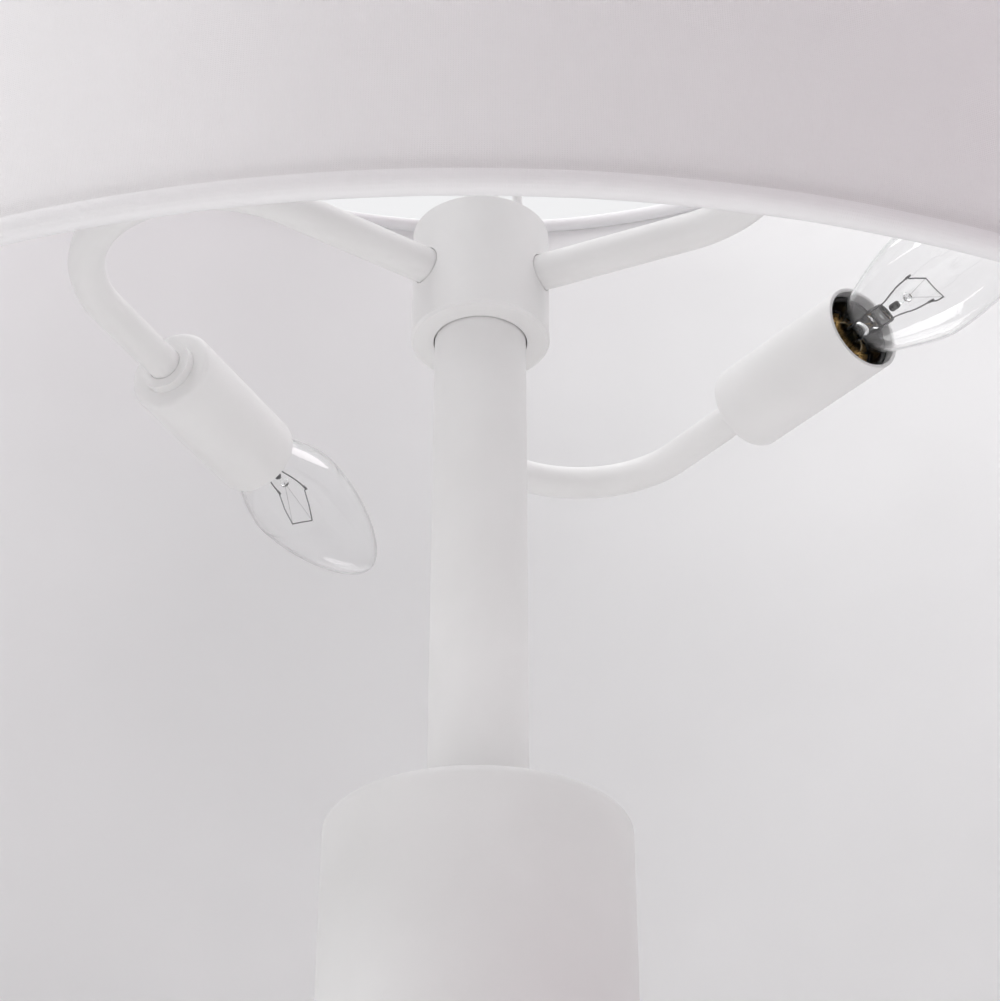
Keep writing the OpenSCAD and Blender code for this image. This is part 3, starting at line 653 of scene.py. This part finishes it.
def make_bulb_stem(i, at, body):
    """Flared foot, hollow tube and the pinch, which is flat and swells round the wires."""
    foot_z, flat_z = CAP_H - NECK_IN, PRESS_TOP - PRESS_FLAT
    flare_r = NECK_R - GLASS_WALL - GLASS_FIT
    # height, half the width and half the depth of each ring
    outside = [
        (foot_z, flare_r, flare_r), (foot_z + 0.8 * MM, flare_r * 0.97, flare_r * 0.97),
        (foot_z + 2.4 * MM, flare_r * 0.72, flare_r * 0.72), (foot_z + 5 * MM, PRESS_R, PRESS_R),
        (flat_z - 2 * MM, PRESS_R, PRESS_R), (flat_z, 3.0 * MM, 2.1 * MM),
        (flat_z + 1.5 * MM, 3.35 * MM, 1.4 * MM), (flat_z + 4 * MM, 3.4 * MM, 1.25 * MM),
        (PRESS_TOP - 0.6 * MM, 3.3 * MM, 1.3 * MM), (PRESS_TOP, 2.9 * MM, 0.9 * MM)]
    inside = [(z + (0.4 * MM if k else 0.0), wide - STEM_WALL, deep - STEM_WALL)
              for k, (z, wide, deep) in enumerate(outside[:4])]
    inside += [(flat_z - 3 * MM, PRESS_R - STEM_WALL, PRESS_R - STEM_WALL),
               (flat_z - 1.2 * MM, 0.9 * MM, 0.6 * MM)]

    def ring(bm, z, wide, deep):
        """One ring, a little out of round as pressed glass is."""
        return [bm.verts.new((wide * math.cos(a) * (1 + 0.05 * math.sin(3 * a + z * 900)),
                              deep * math.sin(a) * (1 + 0.06 * math.sin(2 * a + z * 700)), z))
                for a in circle(PRESS_SIDES)]

    def build(bm):
        rings = [ring(bm, *level) for level in inside[::-1] + outside]
        skin_between(bm, rings)
        bm.faces.new(rings[0][::-1])
        bm.faces.new(rings[-1])

    exhaust = tube([(0, 0, foot_z + 1 * MM), (0, 0, flat_z - 2.2 * MM)], EXHAUST_R, 16)
    rod = tube([(0, 0, BEAD_AT + BEAD_L * 0.4), (0, 0, BUTTON_AT)], ROD_R, 16)
    half_round = arc_points((0.0, 0.0), BUTTON_R, -90, 90, 10)
    button = lathe([(r, BUTTON_AT + BUTTON_FLAT * z) for r, z in half_round], 32)
    stem = piece_from(f"bulb_pinch_{i}", several(build, exhaust, rod, button), body,
                      "inner_glass", at, nodes=[f"bulb_stem_{i}"], sharp_deg=80)
    smooth = stem.modifiers.new("smooth", "SUBSURF")
    smooth.levels = smooth.render_levels = 1


def bend_line(points, radius, steps=4):
    """Points with their inner corners rounded."""
    spots = [Vector(p) for p in points]
    line = [spots[0]]
    for before, corner, after in zip(spots, spots[1:], spots[2:]):
        cut = min(radius, 0.45 * (before - corner).length, 0.45 * (after - corner).length)
        first = corner + (before - corner).normalized() * cut
        last = corner + (after - corner).normalized() * cut
        for k in range(steps + 1):
            t = k / steps
            line.append(first * (1 - t) ** 2 + corner * 2 * t * (1 - t) + last * t * t)
    line.append(spots[-1])
    return line


def filament_line():
    """The filament from one lead wire to the other: a kink, a sagging leg, the bar, and back."""
    legs = []
    for side in (-1, 1):
        end = Vector((side * LEAD_SPREAD, 0.0, LEAD_TOP - 0.2 * MM))
        kink = end + Vector((-side * 0.3 * FILAMENT_KINK, FILAMENT_KINK, -0.2 * FILAMENT_KINK))
        corner = Vector((side * CORNER_X, CORNER_Y, CORNER_Z))
        sag = (kink + corner) / 2 + Vector((side * FILAMENT_SAG, 0.0, -FILAMENT_SAG))
        legs.append([end, kink, sag, corner])
    bar = (legs[0][-1] + legs[1][-1]) / 2 + Vector((0.0, 0.0, -FILAMENT_SAG / 2))
    return legs[0] + [bar] + legs[1][::-1]


def make_leads(i, at, body):
    """Two lead wires with crimped ends, the fine hooks of the filament, and the dark bead."""
    builders = []
    root_z = PRESS_TOP - 4 * MM
    for side in (-1, 1):
        line = bend_line([
            (side * LEAD_ROOT, 0, root_z), (side * LEAD_ROOT, 0, PRESS_TOP + 0.8 * MM),
            (side * LEAD_SPREAD * 0.9, 0, PRESS_TOP + 7 * MM),
            (side * LEAD_SPREAD, 0, LEAD_TOP)], 3 * MM, 8)
        builders.append(tube(line, LEAD_R, 12))
        crimp = [(side * (LEAD_SPREAD - 0.15 * MM), 0, LEAD_TOP - CRIMP_L),
                 (side * (LEAD_SPREAD - 0.10 * MM), 0, LEAD_TOP - 0.85 * CRIMP_L),
                 (side * LEAD_SPREAD, 0, LEAD_TOP - 0.1 * MM),
                 (side * LEAD_SPREAD, 0, LEAD_TOP + 0.3 * MM)]
        builders.append(tube(crimp, [0.7 * CRIMP_R, CRIMP_R, CRIMP_R, 0.7 * CRIMP_R], 12))
        corner = Vector((side * CORNER_X, CORNER_Y, CORNER_Z))
        hook = [(0, 0, BUTTON_AT), corner * 0.985 + Vector((0, 0, BUTTON_AT)) * 0.015,
                corner + Vector((side * 0.2 * MM, 0.3 * MM, 0.5 * MM))]
        builders.append(tube(hook, SUPPORT_R, 6))
    bead = lathe([(r, BEAD_AT + z) for r, z in rounded([
        (0.0, -BEAD_L / 2, 0.0), (BEAD_R, -BEAD_L / 2, 0.7 * BEAD_R),
        (BEAD_R, BEAD_L / 2, 0.7 * BEAD_R), (0.0, BEAD_L / 2, 0.0)], steps=6)], 32)

    def with_bead(bm):
        several(*builders)(bm)
        wire_faces = len(bm.faces)
        bead(bm)
        bm.faces.ensure_lookup_table()
        for face in bm.faces[wire_faces:]:
            face.material_index = 1

    wires = piece_from(f"bulb_wires_{i}", with_bead, body, "lead_wire", at,
                       nodes=[f"bulb_leads_{i}"])
    wires.data.materials.append(MATERIALS["filament_wire"])


def make_filament(i, at, body):
    """A coil of fine wire along the line between the lead wires."""
    line = bend_line(filament_line(), 0.35 * MM)
    lengths = [0.0]
    for one, two in zip(line, line[1:]):
        lengths.append(lengths[-1] + (two - one).length)
    turns = lengths[-1] / COIL_PITCH
    # a direction that the filament never runs along
    aside = Vector((1.0, -1.0, 0.5)).normalized()
    path = []
    segment = 0
    for k in range(int(turns * COIL_SIDES) + 1):
        run = min(lengths[-1], k / COIL_SIDES * COIL_PITCH)
        while segment < len(line) - 2 and lengths[segment + 1] < run:
            segment += 1
        share = (run - lengths[segment]) / (lengths[segment + 1] - lengths[segment])
        spot = line[segment].lerp(line[segment + 1], share)
        along = (line[segment + 1] - line[segment]).normalized()
        across = along.cross(aside).normalized()
        a = 2 * math.pi * k / COIL_SIDES
        path.append(spot + COIL_R * (math.cos(a) * across + math.sin(a) * along.cross(across)))
    piece_from(f"filament_coil_{i}", tube(path, COIL_WIRE_R, 4), body, "filament_wire", at,
               nodes=[f"filament_{i}"])


# Shade
SKIN_LOW, SKIN_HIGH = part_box("shade_skin")[0].z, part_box("shade_skin")[1].z
SKIN_T = 1.0 * MM
ROLL_R = (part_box("bottom_ring")[0].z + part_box("bottom_ring")[1].z) / 2 - SKIN_LOW
WALL_STEPS = 48
ROLL_STEPS = 22
SHADE_STEPS = 360
SEAM_W = 12 * MM
SEAM_T = 0.4 * MM
SEAM_ACROSS = 10
SEAM_SUNK = 0.3 * MM
RIPPLE = (60 * MM, 0.12 * MM)
RIM_RIPPLE = (9 * MM, 0.10 * MM)


def shade_ripple(angle, z, size, depth):
    """A smooth unevenness of the cloth, the same each run."""
    spot = Vector((math.cos(angle) * SHADE_R / size, math.sin(angle) * SHADE_R / size, z / size))
    return depth * noise.noise(spot)


def make_shade():
    """Cloth outside, rolled in round the rim wires, and its liner inside."""
    roll_at = SHADE_R - ROLL_R
    low, high = SKIN_LOW + ROLL_R, SKIN_HIGH - ROLL_R
    inner_r = SHADE_R - SKIN_T
    joint_deg = math.degrees(math.acos((inner_r - roll_at) / ROLL_R))
    outer = [(SHADE_R, low + (high - low) * k / WALL_STEPS) for k in range(WALL_STEPS + 1)]
    top_roll = arc_points((roll_at, high), ROLL_R, 0, 360 - joint_deg, ROLL_STEPS)[1:]
    low_roll = arc_points((roll_at, low), ROLL_R, joint_deg, 360, ROLL_STEPS)
    inner_top, inner_low = top_roll[-1], low_roll[0]
    inner = [(inner_r, inner_top[1] + (inner_low[1] - inner_top[1]) * k / WALL_STEPS)
             for k in range(1, WALL_STEPS)]
    outline = outer + top_roll + inner + low_roll[:-1]
    cloth_rows = len(outer) + len(top_roll) - 1

    def build(bm):
        rings = []
        for r, z in outline:
            ring = []
            rim = min(abs(z - SKIN_LOW), abs(z - SKIN_HIGH)) < 2.2 * ROLL_R
            for a in circle(SHADE_STEPS):
                shift = shade_ripple(a, z, *RIPPLE)
                if rim:
                    shift += shade_ripple(a, z, *RIM_RIPPLE)
                ring.append(bm.verts.new((
                    (r + shift) * math.cos(a), (r + shift) * math.sin(a), z)))
            rings.append(ring)
        for row, (one, two) in enumerate(zip(rings, rings[1:] + rings[:1])):
            lined = cloth_rows <= row < cloth_rows + len(inner) + 1
            rolled = not lined and row >= len(outer) - 1
            for k in range(SHADE_STEPS):
                n = (k + 1) % SHADE_STEPS
                face = bm.faces.new((one[k], one[n], two[n], two[k]))
                face.material_index = 1 if lined else 2 if rolled else 0

    shade = piece_from("shade_drum", build, "shade", "shade_cloth", nodes=["shade_skin"],
                       sharp_deg=50)
    shade.data.materials.append(MATERIALS["shade_liner"])
    shade.data.materials.append(MATERIALS["shade_rim"])
    piece_from("shade_seam", seam_lap(), "shade", "shade_cloth", material="shade_lap",
               sharp_deg=50)


def seam_lap():
    """The lap of the seam up the back, a thin strip with a soft edge."""
    half = SEAM_W / 2 / SHADE_R
    low, high = SKIN_LOW + 2 * ROLL_R, SKIN_HIGH - 2 * ROLL_R

    def build(bm):
        skins = []
        for top in (False, True):
            grid = []
            for row in range(WALL_STEPS + 1):
                z = low + (high - low) * row / WALL_STEPS
                line = []
                for k in range(SEAM_ACROSS + 1):
                    a = math.pi / 2 + half * (1 - 2 * k / SEAM_ACROSS)
                    edge = min(1.0, min(k, SEAM_ACROSS - k) / 1.5)
                    lift = SEAM_T * (0.35 + 0.6 * edge) if top else -SEAM_SUNK
                    r = SHADE_R + shade_ripple(a, z, *RIPPLE) + lift
                    line.append(bm.verts.new((r * math.cos(a), r * math.sin(a), z)))
                grid.append(line)
            skins.append(grid)
        under, over = skins
        for grid in skins:
            for one, two in zip(grid, grid[1:]):
                for k in range(SEAM_ACROSS):
                    bm.faces.new((one[k], one[k + 1], two[k + 1], two[k]))
        for row in (0, WALL_STEPS):
            for k in range(SEAM_ACROSS):
                bm.faces.new((under[row][k], under[row][k + 1], over[row][k + 1], over[row][k]))
        for side in (0, SEAM_ACROSS):
            for row in range(WALL_STEPS):
                bm.faces.new((under[row][side], under[row + 1][side],
                              over[row + 1][side], over[row][side]))

    return build


# The rest of the CAD nodes keep their shape and get their finish
def finish_cad_nodes():
    slots = {part["node"]: part["material_slot"] for part in frame["record"]["subparts"]}
    for name, node in NODES.items():
        node.data.materials.clear()
        node.data.materials.append(MATERIALS[slots[name]])


finish_cad_nodes()
for place in PLACES:
    make_cup(place)
    make_lampholder(place)
    make_screw_shell(place)
    make_bulb(place)
make_shade()


# Floor, lamps and world
FLOOR_SIZE = 8.0
FLOOR_BELOW = 0.2 * MM
FLOOR_TONES = (0.82, 0.82, 0.815), (0.845, 0.845, 0.84)
FLOOR_FADE = (0.7, 2.3)
BACKDROP = (0.88, 0.88, 0.89)
WORLD_COLOUR = (0.99, 0.985, 1.0)
WORLD_LEVEL = 0.13
WHITE = (1.0, 1.0, 1.0)
LAMP_TARGET = Vector((0.0, 0.0, 0.5))
# place, width and height, power, colour
LAMPS = {
    "key": ((-1.85, -1.15, 2.45), (2.2, 2.2), 45.5, WHITE),
    "high": ((-2.60, -0.60, 1.45), (2.0, 1.5), 35.5, WHITE),
    "side": ((2.2, -0.3, 2.2), (2.4, 2.4), 37.0, (1.0, 0.94, 0.97)),
    "fill": ((2.0, -2.0, 1.0), (1.2, 1.2), 3.5, (1.0, 0.12, 0.5)),
    "back": ((0.5, 2.9, 1.9), (1.8, 1.8), 13.0, WHITE),
    "top": ((0.0, 0.0, 3.2), (2.4, 2.4), 28.0, WHITE),
}


def direct_rays(tree):
    """A socket that is 1 for the camera's rays, also where they come by way of glass or gloss."""
    path = tree.nodes.new("ShaderNodeLightPath").outputs
    found = path["Is Camera Ray"]
    for kind in ("Is Transmission Ray", "Is Glossy Ray"):
        larger = tree.nodes.new("ShaderNodeMath")
        larger.operation = "MAXIMUM"
        tree.links.new(found, larger.inputs[0])
        tree.links.new(path[kind], larger.inputs[1])
        found = larger.outputs[0]
    return found


def make_floor():
    mesh = bpy.data.meshes.new("floor")
    half = FLOOR_SIZE / 2
    corners = [(-half, -half, 0), (half, -half, 0), (half, half, 0), (-half, half, 0)]
    mesh.from_pydata(corners, [], [(0, 1, 2, 3)])
    floor = bpy.data.objects.new("floor", mesh)
    floor.location.z = -FLOOR_BELOW
    bpy.context.scene.collection.objects.link(floor)
    s = Shader("floor", Roughness=0.7)
    s.feed("Base Color", s.ramp(s.noise(0.4), 0.3, 0.7, *FLOOR_TONES))
    # far from the lamp the floor runs over into the background for the camera's rays
    far = s.add("ShaderNodeVectorMath", {0: s.place}, operation="LENGTH").outputs["Value"]
    far = s.add("ShaderNodeMapRange", {
        "Value": far, "From Min": FLOOR_FADE[0], "From Max": FLOOR_FADE[1], "To Min": 0.0,
        "To Max": 1.0}, interpolation_type="SMOOTHERSTEP").outputs["Result"]
    backdrop = s.add("ShaderNodeEmission", {"Color": (*BACKDROP, 1.0), "Strength": 1.0})
    mix = s.add("ShaderNodeMixShader", {
        "Fac": s.math("MULTIPLY", far, direct_rays(s.tree)), 1: s.principled.outputs["BSDF"],
        2: backdrop.outputs["Emission"]})
    s.tree.links.new(mix.outputs["Shader"], s.output.inputs["Surface"])
    mesh.materials.append(s.material)


def area_light(name, place, size, power, colour):
    data = bpy.data.lights.new(name, "AREA")
    data.shape = "RECTANGLE"
    data.size, data.size_y = size
    data.energy = power
    data.color = colour
    lamp = bpy.data.objects.new(name, data)
    bpy.context.scene.collection.objects.link(lamp)
    facing = (LAMP_TARGET - Vector(place)).to_track_quat("-Z", "Y").to_matrix().to_4x4()
    lamp.matrix_world = Matrix.Translation(Vector(place)) @ facing


def make_world():
    world = bpy.data.worlds.new("world")
    bpy.context.scene.world = world
    world.use_nodes = True
    tree = world.node_tree
    light = tree.nodes["Background"]
    light.inputs["Color"].default_value = (*WORLD_COLOUR, 1.0)
    light.inputs["Strength"].default_value = WORLD_LEVEL
    seen = tree.nodes.new("ShaderNodeBackground")
    seen.inputs["Color"].default_value = (*BACKDROP, 1.0)
    seen.inputs["Strength"].default_value = 1.0
    mix = tree.nodes.new("ShaderNodeMixShader")
    tree.links.new(direct_rays(tree), mix.inputs["Fac"])
    tree.links.new(light.outputs["Background"], mix.inputs[1])
    tree.links.new(seen.outputs["Background"], mix.inputs[2])
    tree.links.new(mix.outputs["Shader"], tree.nodes["World Output"].inputs["Surface"])


make_floor()
for lamp_name, lamp in LAMPS.items():
    area_light(lamp_name, *lamp)
make_world()

bpy.context.scene.view_settings.view_transform = "Standard"
